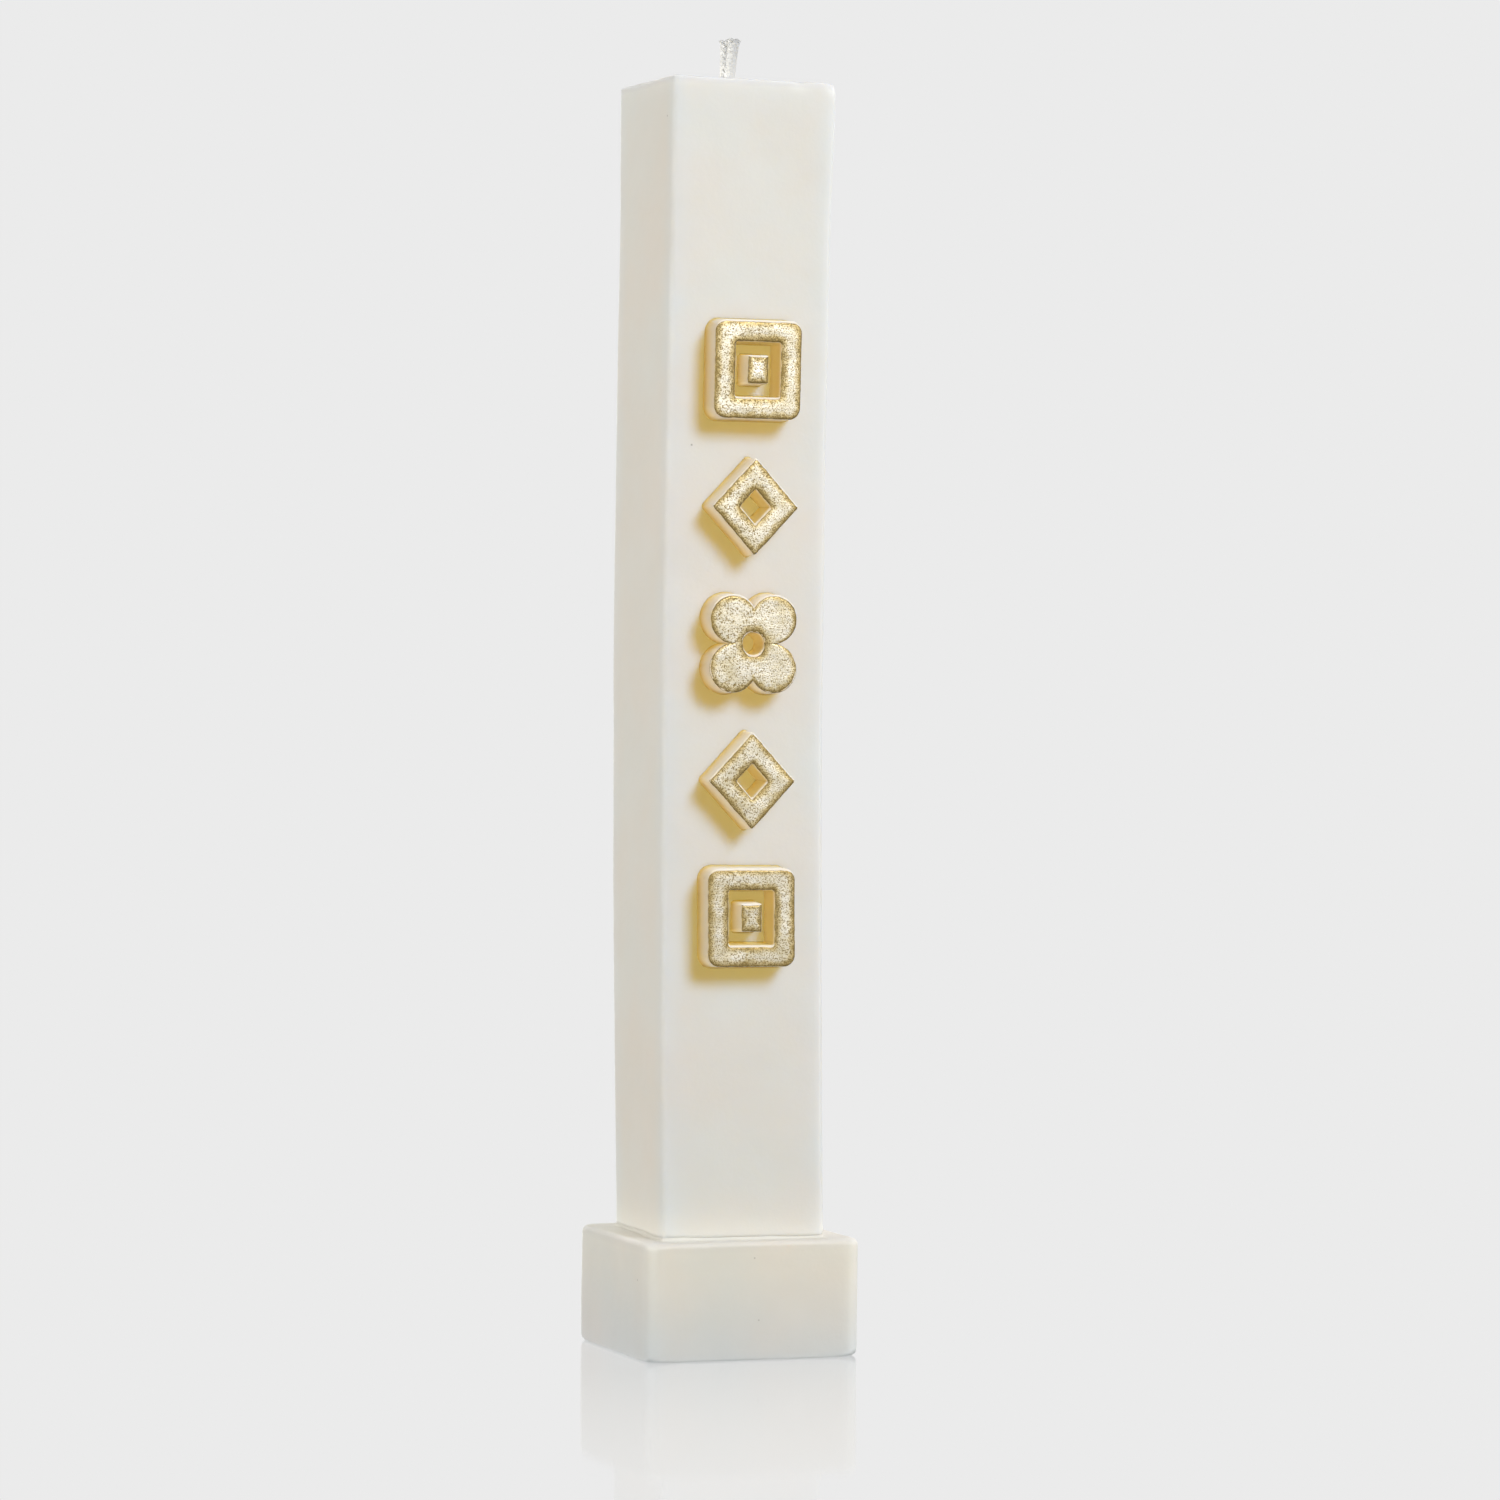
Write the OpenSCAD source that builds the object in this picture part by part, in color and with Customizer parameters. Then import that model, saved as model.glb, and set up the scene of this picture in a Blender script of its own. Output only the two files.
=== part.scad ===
// Square pillar candle on a square foot, with gilded relief ornaments down its front.
// Units are millimetres. +Z is up, the ornamented face looks along -Y, and the origin
// is the centre of the foot's underside.

/* [Foot] */
// Width and depth of the square foot
foot_w = 46; // [44:0.5:60]
// Height of the foot
foot_h = 24; // [15:0.5:40]
// Radius of the foot's upright corners
foot_corner_r = 3; // [1:0.5:6]

/* [Column] */
// Width and depth of the square column
column_w = 34.6; // [30:0.2:38]
// Height of the column above the foot
column_h = 236; // [225:1:300]
// Radius of the column's upright corners
column_corner_r = 0.8; // [0.4:0.1:3]
// Height and width of the melted-wax cove where the column meets the foot
bead_size = 1.6; // [0.8:0.1:2.4]
// Thickness of the cove's rims
bead_rim = 0.15; // [0.1:0.05:0.3]

/* [Wicks] */
// Diameter of each braided wick inside the wax
wick_d = 2.3; // [1.5:0.1:3]
// Diameter of a wick's bare end
bare_d = 2.1; // [1:0.1:2.8]
// Gap between the two wicks
wick_clear = 0.05; // [0.02:0.01:1]
// Bare length of wick above the wax
wick_bare = 10.4; // [5:0.1:15]
// Lean of the front wick's bare end towards +X, in degrees
front_lean = 7; // [1:1:15]
// Lean of the back wick's bare end towards -X, in degrees
back_lean = 1; // [1:1:15]
// Diameter of the sheet-steel tab that holds the wicks upright
tab_d = 18; // [12:1:24]
// Thickness of the tab's sheet steel
tab_t = 0.4; // [0.2:0.1:1]
// Height of the crimped neck on the tab
neck_h = 5; // [3:0.5:8]
// Wall of the neck outside the wicks
neck_wall = 0.6; // [0.3:0.1:1]

/* [Relief ornaments] */
// Width of every ornament
relief_w = 18.6; // [17:0.2:20]
// Height of every ornament
relief_h = 20; // [18:0.5:22]
// Distance from one ornament's centre to the next
relief_pitch = 27.75; // [24:0.25:32]
// Height of the middle ornament's centre above the ground
relief_mid_z = 145.3; // [135:0.1:155]
// Width of the strokes in the square and lozenge frames
stroke = 4.4; // [3:0.1:5]
// Radius of the square frame's outer corners
frame_corner_r = 2.4; // [1:0.1:4]
// Radius of the square frame's inner corners
frame_inner_r = 0.6; // [0.2:0.1:1.5]
// Width of the stud inside the square frame
stud_w = 4.4; // [2:0.1:5]
// Height of the stud inside the square frame
stud_h = 5.8; // [2:0.1:6]
// Radius of the rosette's petals
petal_r = 4.9; // [4.8:0.1:5.5]
// Radius of the hole through the rosette's centre
rosette_hole_r = 2.3; // [1:0.1:3]

/* [Gilding] */
// Thickness of the gilded skin on each ornament's face
gilding_t = 0.2; // [0.1:0.05:0.4]
// Width of the bare wax edge left around the gilding
bare_edge = 0.3; // [0.1:0.05:0.6]

/* [Hidden] */
$fn = 64;

top_z = foot_h + column_h;
face_y = -column_w / 2;
// The gilded faces stand flush with the foot's front face.
relief_d = (foot_w - column_w) / 2 - gilding_t;
wick_y = (wick_d + wick_clear) / 2;
wick_bottom_z = foot_h + tab_t;
// Wax clings to each wick this far above the column's top.
wick_collar = 0.3;
neck_r = wick_y + wick_d / 2 + neck_wall;
// Lets a cut run clear of the face it opens in.
past = 1;

wax = [0.93, 0.91, 0.85];
foot_wax = [0.88, 0.87, 0.82];
cotton = [0.95, 0.94, 0.91];
steel = [0.72, 0.72, 0.74];
gold = [0.80, 0.66, 0.32];

// Height of an ornament's centre: step 2 is the top one, 0 the middle, -2 the bottom.
function relief_z(step) = relief_mid_z + step * relief_pitch;

module rounded(w, h, r) {
    square([w - 2 * r, h], center = true);
    square([w, h - 2 * r], center = true);
    for (x = [-1, 1], y = [-1, 1])
        translate([x * (w / 2 - r), y * (h / 2 - r)])
            circle(r);
}

module foot() {
    color(foot_wax)
        linear_extrude(foot_h)
            rounded(foot_w, foot_w, foot_corner_r);
}

module column() {
    color(wax)
        difference() {
            translate([0, 0, foot_h])
                linear_extrude(column_h)
                    rounded(column_w, column_w, column_corner_r);
            translate([0, 0, foot_h - past])
                cylinder(h = tab_t + past, d = tab_d);
            translate([0, 0, foot_h - past])
                cylinder(h = tab_t + neck_h + past, r = neck_r);
            for (side = [-1, 1])
                translate([0, side * wick_y, foot_h])
                    cylinder(h = column_h + past, d = wick_d);
        }
}

// Cove profile: x runs out from the column's face and y runs up from the foot's top.
module cove() {
    difference() {
        square(bead_size);
        translate([bead_size, bead_size])
            circle(bead_size - bead_rim);
    }
}

module join_bead() {
    run = column_w - 2 * column_corner_r;
    color(wax)
        translate([0, 0, foot_h])
            for (turn = [0:90:270])
                rotate(turn) {
                    translate([column_w / 2, run / 2, 0])
                        rotate([90, 0, 0])
                            linear_extrude(run)
                                cove();
                    translate([run / 2, run / 2, 0])
                        rotate_extrude(angle = 90)
                            translate([column_corner_r, 0])
                                cove();
                }
}

module wick_tab() {
    color(steel)
        translate([0, 0, foot_h]) {
            cylinder(h = tab_t, d = tab_d);
            difference() {
                cylinder(h = tab_t + neck_h, r = neck_r);
                for (side = [-1, 1])
                    translate([0, side * wick_y, tab_t])
                        cylinder(h = neck_h + past, d = wick_d);
            }
        }
}

// A wick that stands on the tab, runs up through the wax and leans towards +X above it.
module wick(lean) {
    color(cotton) {
        translate([0, 0, wick_bottom_z])
            cylinder(h = top_z + wick_collar - wick_bottom_z, d = wick_d);
        translate([0, 0, top_z])
            rotate([0, lean, 0])
                cylinder(h = wick_bare, d = bare_d);
    }
}

module wick_front() {
    translate([0, -wick_y, 0])
        wick(front_lean);
}

module wick_back() {
    translate([0, wick_y, 0])
        wick(-back_lean);
}

// The ornaments' outlines; edge is how far the outline is drawn in from the wax's own edge.
module square_frame_outline(edge) {
    difference() {
        rounded(relief_w - 2 * edge, relief_h - 2 * edge, frame_corner_r - edge);
        rounded(relief_w - 2 * stroke + 2 * edge, relief_h - 2 * stroke + 2 * edge,
                frame_inner_r + edge);
    }
}

module stud_outline(edge) {
    square([stud_w - 2 * edge, stud_h - 2 * edge], center = true);
}

// A lozenge whose sides lie inset behind those of the full-size one.
module lozenge(inset) {
    half_w = relief_w / 2;
    half_h = relief_h / 2;
    side_distance = half_w * half_h / norm([half_w, half_h]);
    shrink = (side_distance - inset) / side_distance;
    polygon(shrink * [[half_w, 0], [0, half_h], [-half_w, 0], [0, -half_h]]);
}

module lozenge_outline(edge) {
    difference() {
        lozenge(edge);
        lozenge(stroke - edge);
    }
}

module rosette_outline(edge) {
    difference() {
        union() {
            circle(petal_r);
            for (x = [-1, 1], y = [-1, 1])
                translate([x * (relief_w / 2 - petal_r), y * (relief_h / 2 - petal_r)])
                    circle(petal_r - edge);
        }
        circle(rosette_hole_r + edge);
    }
}

// Stands an outline on the column's front face: a wax block, or its gilded skin.
module block(step) {
    color(wax)
        translate([0, face_y, relief_z(step)])
            rotate([90, 0, 0])
                linear_extrude(relief_d)
                    children();
}

module skin(step) {
    color(gold)
        translate([0, face_y - relief_d, relief_z(step)])
            rotate([90, 0, 0])
                linear_extrude(gilding_t)
                    children();
}

module square_frame_top() { block(2) square_frame_outline(0); }
module square_stud_top() { block(2) stud_outline(0); }
module lozenge_upper() { block(1) lozenge_outline(0); }
module rosette() { block(0) rosette_outline(0); }
module lozenge_lower() { block(-1) lozenge_outline(0); }
module square_frame_bottom() { block(-2) square_frame_outline(0); }
module square_stud_bottom() { block(-2) stud_outline(0); }

module gilding_square_frame_top() { skin(2) square_frame_outline(bare_edge); }
module gilding_square_stud_top() { skin(2) stud_outline(bare_edge); }
module gilding_lozenge_upper() { skin(1) lozenge_outline(bare_edge); }
module gilding_rosette() { skin(0) rosette_outline(bare_edge); }
module gilding_lozenge_lower() { skin(-1) lozenge_outline(bare_edge); }
module gilding_square_frame_bottom() { skin(-2) square_frame_outline(bare_edge); }
module gilding_square_stud_bottom() { skin(-2) stud_outline(bare_edge); }

foot();
column();
join_bead();
wick_tab();
wick_front();
wick_back();
square_frame_top();
square_stud_top();
lozenge_upper();
rosette();
lozenge_lower();
square_frame_bottom();
square_stud_bottom();
gilding_square_frame_top();
gilding_square_stud_top();
gilding_lozenge_upper();
gilding_rosette();
gilding_lozenge_lower();
gilding_square_frame_bottom();
gilding_square_stud_bottom();
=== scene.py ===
"""Square pillar candle with gilded relief ornaments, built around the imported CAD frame. Metres, +Z up."""

import math
import random

import bmesh
import bpy
import numpy as np
from mathutils import Matrix, Vector, noise


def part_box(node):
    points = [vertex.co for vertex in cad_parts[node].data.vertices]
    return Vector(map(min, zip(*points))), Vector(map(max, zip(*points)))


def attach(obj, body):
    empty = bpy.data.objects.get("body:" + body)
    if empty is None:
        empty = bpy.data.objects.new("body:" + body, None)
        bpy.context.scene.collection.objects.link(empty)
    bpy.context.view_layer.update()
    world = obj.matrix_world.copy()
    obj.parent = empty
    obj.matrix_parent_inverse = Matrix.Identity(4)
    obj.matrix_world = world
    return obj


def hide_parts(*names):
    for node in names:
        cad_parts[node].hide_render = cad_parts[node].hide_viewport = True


MM = 0.001

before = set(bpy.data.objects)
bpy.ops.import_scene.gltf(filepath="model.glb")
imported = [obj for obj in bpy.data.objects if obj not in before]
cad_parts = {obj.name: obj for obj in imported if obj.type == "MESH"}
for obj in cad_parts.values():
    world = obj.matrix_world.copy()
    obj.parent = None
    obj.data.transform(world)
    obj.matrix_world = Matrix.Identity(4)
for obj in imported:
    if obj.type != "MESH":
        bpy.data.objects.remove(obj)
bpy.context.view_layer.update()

# Sizes read from the frame
FOOT_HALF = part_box("foot")[1].x
FOOT_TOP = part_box("foot")[1].z
COLUMN_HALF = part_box("column")[1].x
COLUMN_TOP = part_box("column")[1].z
COLUMN_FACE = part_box("column")[0].y
GILDED_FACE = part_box("gilding_rosette")[0].y
RELIEF_DEPTH = COLUMN_FACE - GILDED_FACE

SLACK = 0.03 * MM  # how far the column's and foot's outlines stay inside their CAD faces


# ---------------------------------------------------------------- camera and lamps

MIDDLE = (0.0, 0.0, 0.5 * COLUMN_TOP)
WHITE = (1.0, 1.0, 1.0)
KEY_FROM = (0.42, -1.0, 0.70)  # direction the key light comes from
KEY_DISTANCE = 3.0
KEY_SIZE = 1.05
KEY_POWER = 103.5
THROUGH_WAX = (0.69, 0.51, 0.15)  # share of the key that the thin ornaments let through
PAST_COLUMN = (0.38, 0.37, 0.30)  # share of the key that the column doesn't keep from the foot


def place_camera():
    """Long lens, a little left of the ornamented face and just above mid height."""
    azimuth, distance, height = math.radians(-19.38), 1.155, 0.1387
    pitch, roll, yaw = math.radians(-0.75), math.radians(0.475), math.radians(0.283)
    data = bpy.data.cameras.new("camera")
    data.sensor_width = 36.0
    data.lens = 134.2
    data.clip_start = 0.05
    data.clip_end = 50.0
    camera = bpy.data.objects.new("camera", data)
    bpy.context.scene.collection.objects.link(camera)
    place = Matrix.Translation((math.sin(azimuth) * distance, -math.cos(azimuth) * distance, height))
    turn = Matrix.Rotation(azimuth - yaw, 4, "Z") @ Matrix.Rotation(math.pi / 2 + pitch, 4, "X")
    camera.matrix_world = place @ turn @ Matrix.Rotation(roll, 4, "Z")
    bpy.context.scene.camera = camera


def area_light(name, aim, direction, distance, size, power, receivers, blockers=None, colour=WHITE):
    """A square softbox that looks at aim from direction and lights only its receivers; power is in watts.

    Every piece throws shadows in it, or only the blockers where they are given.
    """
    data = bpy.data.lights.new(name, "AREA")
    data.shape = "SQUARE"
    data.size = size
    data.energy = power
    data.color = colour
    light = bpy.data.objects.new(name, data)
    bpy.context.scene.collection.objects.link(light)
    back = Vector(direction).normalized()
    light.location = Vector(aim) + back * distance
    light.rotation_euler = back.to_track_quat("Z", "Y").to_euler()
    light.visible_camera = False
    light.light_linking.receiver_collection = receivers
    if blockers is not None:
        light.light_linking.blocker_collection = blockers
    return light


def group_pieces(blocks, skins, solids, wicks):
    """The sets of pieces that lamps are linked to, as collections outside the scene."""
    column, foot, bead = solids
    sets = {
        "candle": blocks + skins + solids + wicks,
        "column_and_ornaments": blocks + skins + [column],
        "column_bead_wicks": [column, bead] + wicks,
        "foot_and_bead": [foot, bead],
        "foot_only": [foot],
        "large_pieces": solids + wicks,
        "ornament_blocks": blocks,
        "both_wicks": wicks,
    }
    groups = {}
    for name, pieces in sets.items():
        groups[name] = bpy.data.collections.new(name)
        for piece in pieces:
            groups[name].objects.link(piece)
    return groups


def split_key(name, passed, receivers, blockers):
    """The key light as two lamps in one place: a share that every piece stops, and the passed share, which
    only the blockers stop."""
    stopped = tuple(1.0 - share for share in passed)
    for ending, colour, stoppers in (("", stopped, None), ("_passed", passed, blockers)):
        area_light(
            name + ending, MIDDLE, KEY_FROM, distance=KEY_DISTANCE, size=KEY_SIZE, power=KEY_POWER,
            receivers=receivers, blockers=stoppers, colour=colour)


def light_sides(groups):
    """Broad light from the left, weaker light from the right and behind, and a glint on the near edges."""
    left_from = (-1.0, 0.18, 0.15)
    area_light(
        "left", MIDDLE, left_from, distance=1.8, size=0.7, power=24.2,
        receivers=groups["column_bead_wicks"], colour=(1.0, 0.975, 0.92))
    area_light(
        "foot_left", MIDDLE, left_from, distance=1.8, size=0.7, power=26.3,
        receivers=groups["foot_only"], colour=(1.0, 0.99, 0.98))
    area_light(
        "right", MIDDLE, (1.0, 0.5, 0.4), distance=1.3, size=0.5, power=4.0,
        receivers=groups["candle"], colour=(1.0, 0.97, 0.92))
    rear = area_light(
        "rear", MIDDLE, (0.1, 1.0, 0.5), distance=1.5, size=0.6, power=14.0, receivers=groups["candle"])
    rear.visible_glossy = False
    glint = area_light(
        "glint", MIDDLE, (-0.8, -0.6, 0.05), distance=1.2, size=0.25, power=7.0, receivers=groups["candle"])
    glint.visible_diffuse = False


def light_from_inside(groups):
    """Lamps that stand in for light scattered inside the wax: warm for the ornaments, cool for the foot.

    The foot is the only blocker of the warm ones, so the ornaments don't shade one another.
    """
    for name, direction, power in (
            ("glow_left", (-1.0, -0.12, 0.0), 8.0),
            ("glow_below", (0.1, -0.12, -1.0), 6.0)):
        area_light(
            name, MIDDLE, direction, distance=1.2, size=0.5, power=power,
            receivers=groups["ornament_blocks"], blockers=groups["foot_only"], colour=(1.0, 0.84, 0.60))
    area_light(
        "foot_fill", (0.0, 0.0, 0.5 * FOOT_TOP), (0.05, -0.25, -1.0), distance=1.2, size=0.6, power=7.0,
        receivers=groups["foot_only"], blockers=groups["large_pieces"], colour=(0.93, 0.98, 1.0))


def light_wicks(groups):
    """The key again, weaker for the bright cotton, and a fill from the front that nothing near shades."""
    tips = (0.0, 0.0, COLUMN_TOP)
    area_light(
        "wick_key", tips, KEY_FROM, distance=KEY_DISTANCE, size=KEY_SIZE, power=48.5,
        receivers=groups["both_wicks"])
    area_light(
        "wick_fill", tips, (-0.6, -1.0, 0.0), distance=1.2, size=0.9, power=3.2,
        receivers=groups["both_wicks"], blockers=groups["foot_only"])


def light_studio(blocks, skins, solids, wicks):
    """One soft key from the upper right, and softer lights round it.

    Wax lets warm light through, so part of the key isn't stopped by the thin ornaments: their shadows on the
    column are amber, as on real wax. No lamp lights the floor, so none shows up as glare beside the candle.
    """
    groups = group_pieces(blocks, skins, solids, wicks)
    split_key("key", THROUGH_WAX, groups["column_and_ornaments"], groups["large_pieces"])
    split_key("key_on_foot", PAST_COLUMN, groups["foot_and_bead"], groups["foot_only"])
    light_sides(groups)
    light_from_inside(groups)
    light_wicks(groups)


# ---------------------------------------------------------------- nodes

def new_material(name):
    """A material, its node tree and its Principled shader."""
    material = bpy.data.materials.new(name)
    material.use_nodes = True
    return material, material.node_tree, material.node_tree.nodes["Principled BSDF"]


def feed(tree, value, socket):
    """Sets a socket to a number or a colour, or links another node's output to it."""
    if isinstance(value, (int, float)):
        socket.default_value = value
    elif isinstance(value, tuple):
        socket.default_value = (*value, 1.0)
    else:
        tree.links.new(value, socket)


def object_place(tree):
    return tree.nodes.new("ShaderNodeTexCoord").outputs["Object"]


def add_attribute(tree, name):
    """A number stored for each vertex of the piece, or 0 where it has none of that name."""
    node = tree.nodes.new("ShaderNodeAttribute")
    node.attribute_name = name
    return node.outputs["Fac"]


def add_math(tree, operation, first, second, clamp=False):
    node = tree.nodes.new("ShaderNodeMath")
    node.operation = operation
    node.use_clamp = clamp
    feed(tree, first, node.inputs[0])
    feed(tree, second, node.inputs[1])
    return node.outputs["Value"]


def add_noise(tree, coordinates, scale, detail=3.0, roughness=0.5):
    node = tree.nodes.new("ShaderNodeTexNoise")
    node.inputs["Scale"].default_value = scale
    node.inputs["Detail"].default_value = detail
    node.inputs["Roughness"].default_value = roughness
    tree.links.new(coordinates, node.inputs["Vector"])
    return node.outputs["Fac"]


def add_ramp(tree, value, stops):
    """Colour ramp; stops is a list of (position, (r, g, b))."""
    node = tree.nodes.new("ShaderNodeValToRGB")
    ramp = node.color_ramp
    while len(ramp.elements) < len(stops):
        ramp.elements.new(0.5)
    for element, (position, colour) in zip(ramp.elements, stops):
        element.position = position
        element.color = (*colour, 1.0)
    tree.links.new(value, node.inputs["Fac"])
    return node.outputs["Color"]


def add_range(tree, value, low, high, to_low=0.0, to_high=1.0):
    """The value carried from the range low to high over to another range, and kept inside it."""
    node = tree.nodes.new("ShaderNodeMapRange")
    node.inputs["From Min"].default_value = low
    node.inputs["From Max"].default_value = high
    node.inputs["To Min"].default_value = to_low
    node.inputs["To Max"].default_value = to_high
    tree.links.new(value, node.inputs["Value"])
    return node.outputs["Result"]


def add_bump(tree, height, distance, strength=0.5, under=None):
    """A bumped normal, over another bump's normal where one is given."""
    node = tree.nodes.new("ShaderNodeBump")
    node.inputs["Distance"].default_value = distance
    node.inputs["Strength"].default_value = strength
    tree.links.new(height, node.inputs["Height"])
    if under is not None:
        tree.links.new(under, node.inputs["Normal"])
    return node.outputs["Normal"]


def mix_colours(tree, share, first, second, mode="MIX"):
    node = tree.nodes.new("ShaderNodeMix")
    node.data_type = "RGBA"
    node.blend_type = mode
    factor, colour_a, colour_b = node.inputs[0], node.inputs[6], node.inputs[7]
    feed(tree, share, factor)
    feed(tree, first, colour_a)
    feed(tree, second, colour_b)
    return node.outputs[2]


# ---------------------------------------------------------------- surround and floor

PALE = (0.831, 0.831, 0.831)  # linear value of the plain pale studio
FLOOR_SIZE = 8.0
FLOOR_DROP = 0.05 * MM  # keeps the floor clear of the foot's underside


def light_world():
    """The pale surround is seen by the camera and in reflections, but doesn't wash out the shadows."""
    world = bpy.data.worlds.new("studio")
    bpy.context.scene.world = world
    world.use_nodes = True
    background = world.node_tree.nodes["Background"]
    background.inputs["Color"].default_value = (*PALE, 1.0)
    background.inputs["Strength"].default_value = 1.0
    world.cycles_visibility.diffuse = False


def floor_material():
    """The pale of the surround, with a reflection that fades out away from the foot."""
    material = bpy.data.materials.new("floor")
    material.use_nodes = True
    tree = material.node_tree
    tree.nodes.clear()
    glow = tree.nodes.new("ShaderNodeEmission")
    glow.inputs["Color"].default_value = (*PALE, 1.0)
    mirror = tree.nodes.new("ShaderNodeBsdfGlossy")
    mirror.inputs["Color"].default_value = (1.0, 1.0, 1.0, 1.0)
    mirror.inputs["Roughness"].default_value = 0.06
    length = tree.nodes.new("ShaderNodeVectorMath")
    length.operation = "LENGTH"
    tree.links.new(object_place(tree), length.inputs[0])
    fade_per_metre = 0.0024
    fade = add_math(tree, "POWER", fade_per_metre, length.outputs["Value"])
    strength = add_math(tree, "MULTIPLY", fade, 1.3, clamp=True)
    graze = tree.nodes.new("ShaderNodeFresnel")
    graze.inputs["IOR"].default_value = 1.5
    mix = tree.nodes.new("ShaderNodeMixShader")
    tree.links.new(add_math(tree, "MULTIPLY", strength, graze.outputs["Fac"]), mix.inputs["Fac"])
    tree.links.new(glow.outputs["Emission"], mix.inputs[1])
    tree.links.new(mirror.outputs["BSDF"], mix.inputs[2])
    out = tree.nodes.new("ShaderNodeOutputMaterial")
    tree.links.new(mix.outputs["Shader"], out.inputs["Surface"])
    return material


def lay_floor():
    """Pale floor that mirrors the foot faintly and throws no light on it."""
    bpy.ops.mesh.primitive_plane_add(size=FLOOR_SIZE, location=(0, 0, -FLOOR_DROP))
    floor = bpy.context.object
    floor.name = "floor"
    floor.data.materials.append(floor_material())
    floor.visible_diffuse = False


# ---------------------------------------------------------------- materials

# Painted sheen tints for the long edges, in place of the light the rounded edges catch: cooler on the column,
# brighter on the foot.
COLUMN_EDGE_SHEEN = (0.965, 1.0, 1.05)
FOOT_EDGE_SHEEN = (1.04, 1.07, 1.10)
# Painted shade tints: amber where relief blocks meet the column, greyer towards the foot's underside, and
# darker on rims and upward faces.
WAX_TINTS = {"root": (0.82, 0.64, 0.22), "low": (0.88, 0.93, 1.03), "painted_shade": (0.83, 0.83, 0.87)}


def wax_colour(tree, place, light, dark, edge_sheen_tint):
    """Cloudy wax with a faint blush and a few pinholes.

    Four numbers stored per vertex tint it, all of them painted light and shade: a sheen painted along the
    long edges, cool on the column and brighter on the foot;
    amber shade painted where a relief block is thickest and faintly at the column's bottom; shade painted
    greyer towards the foot's underside;
    and shade painted on rims and upward faces, against the light they catch, and on the column's lower part.
    Where one is 1, its tint is full.
    """
    clouds = add_noise(tree, place, 45.0, detail=4.0, roughness=0.55)
    colour = add_ramp(tree, clouds, [(0.3, dark), (0.7, light)])
    for name, tint in {"painted_edge_sheen": edge_sheen_tint, **WAX_TINTS}.items():
        colour = mix_colours(tree, add_attribute(tree, name), colour, tint, "MULTIPLY")
    cool, warm = (0.975, 0.995, 1.0), (1.0, 0.97, 0.945)
    blush = add_ramp(tree, add_noise(tree, place, 34.0), [(0.35, cool), (0.65, warm)])
    colour = mix_colours(tree, 1.0, colour, blush, "MULTIPLY")
    pinhole = tree.nodes.new("ShaderNodeTexVoronoi")
    pinhole.inputs["Scale"].default_value = 110.0
    tree.links.new(place, pinhole.inputs["Vector"])
    speck = add_range(tree, pinhole.outputs["Distance"], 0.015, 0.030, 0.6, 0.0)
    return mix_colours(tree, speck, colour, (0.30, 0.27, 0.22))


def wax_material(name, light, dark, depth, gloss=0.5, edge_sheen_tint=COLUMN_EDGE_SHEEN):
    """Translucent satin wax between two colours, with light that scatters depth below its surface."""
    material, tree, shader = new_material(name)
    place = object_place(tree)
    tree.links.new(wax_colour(tree, place, light, dark, edge_sheen_tint), shader.inputs["Base Color"])
    satin = add_range(tree, add_noise(tree, place, 160.0), 0.3, 0.7, 0.52, 0.64)
    tree.links.new(satin, shader.inputs["Roughness"])
    soft = add_bump(tree, add_noise(tree, place, 220.0, detail=4.0, roughness=0.6), 0.18 * MM)
    fine = add_bump(tree, add_noise(tree, place, 1500.0, detail=2.0), 0.02 * MM, under=soft)
    tree.links.new(fine, shader.inputs["Normal"])
    shader.inputs["IOR"].default_value = 1.44
    shader.inputs["Specular IOR Level"].default_value = gloss
    shader.inputs["Subsurface Weight"].default_value = 1.0 if depth > 0 else 0.0
    shader.inputs["Subsurface Radius"].default_value = (1.0, 0.97, 0.94)
    shader.inputs["Subsurface Scale"].default_value = depth
    return material


def gilding_colour(tree, place, middle):
    """Gold from dark olive at a stroke's rim to pale in its middle: partly thinner paint at the rim, and
    partly painted shade on the rim and a painted highlight along the crowned middle, with brighter and duller
    patches of painted sheen over it.
    """
    body = add_ramp(tree, middle, [
        (0.0, (0.25, 0.18, 0.06)), (0.35, (0.41, 0.32, 0.15)),
        (0.7, (0.55, 0.475, 0.31)), (1.0, (0.60, 0.56, 0.46))])
    # Painted sheen: brighter and duller patches across the gold.
    painted_sheen_patches = add_ramp(tree, add_noise(tree, place, 260.0, roughness=0.6), [
        (0.36, (0.84, 0.80, 0.68)), (0.62, (1.04, 1.05, 1.08))])
    return mix_colours(tree, 1.0, body, painted_sheen_patches, "MULTIPLY")


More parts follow.
